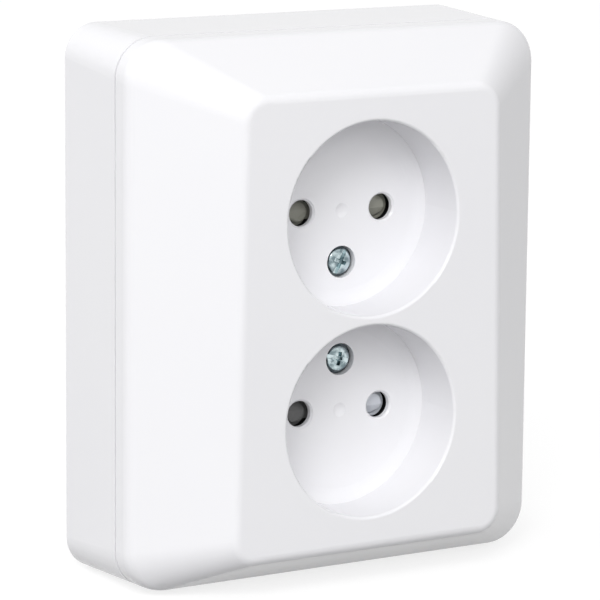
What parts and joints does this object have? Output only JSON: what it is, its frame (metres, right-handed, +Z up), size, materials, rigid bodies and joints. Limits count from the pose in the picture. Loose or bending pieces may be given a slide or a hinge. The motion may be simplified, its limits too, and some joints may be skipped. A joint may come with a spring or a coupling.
{
  "type": "surface-mounted socket outlet",
  "caption": "Surface-mounted white socket outlet without earth, with round recessed wells above each other, sprung child-safety shutters and a rear box that is screwed to a wall.",
  "frame": {"origin": "on the wall face of the rear box, midway between the axes of the two wells", "axes": "+Y into the wall, +Z up from the lower well to the upper one, +X to the right seen from the front"},
  "size_m": [0.0964, 0.0427, 0.1146],
  "materials": {
    "housing_white": "moulded, glossy, white",
    "shutter_grey": "moulded, satin, mid grey",
    "carrier_black": "moulded, matte, black",
    "contact_brass": "stamped and folded, bare",
    "spring_steel": "bright spring steel",
    "zinc_steel": "zinc plated, slightly bluish"
  },
  "bodies": {
    "housing": {"rear_box": "housing_white", "front_cover": "housing_white", "contact_carrier": "carrier_black", "shutter_plate": "carrier_black", "shutter_spring_upper": "spring_steel", "shutter_spring_lower": "spring_steel", "line_contact": "contact_brass", "neutral_contact": "contact_brass", "jaw_clip_line_upper": "spring_steel", "terminal_clamp_line_upper": "zinc_steel", "jaw_clip_neutral_upper": "spring_steel", "terminal_clamp_neutral_upper": "zinc_steel", "jaw_clip_line_lower": "spring_steel", "terminal_clamp_line_lower": "zinc_steel", "jaw_clip_neutral_lower": "spring_steel", "terminal_clamp_neutral_lower": "zinc_steel", "terminal_screws": "zinc_steel", "cover_screws": "zinc_steel", "cover_nuts": "zinc_steel", "carrier_screws": "zinc_steel"},
    "shutter_upper": {"shutter_upper": "shutter_grey"},
    "shutter_lower": {"shutter_lower": "shutter_grey"}
  },
  "joints": [
    {"name": "shutter_upper_turn", "type": "hinge", "parent": "housing", "child": "shutter_upper", "pos_m": [0, -0.0269, 0.0209], "axis": [0, -1, 0], "range_deg": [0, 36], "stiffness_Nm_per_rad": 0.001, "springref_deg": -20.05, "deforming": ["shutter_spring_upper"]},
    {"name": "shutter_lower_turn", "type": "hinge", "parent": "housing", "child": "shutter_lower", "pos_m": [0, -0.0269, -0.0209], "axis": [0, -1, 0], "range_deg": [0, 36], "stiffness_Nm_per_rad": 0.001, "springref_deg": -20.05, "deforming": ["shutter_spring_lower"]}
  ]
}
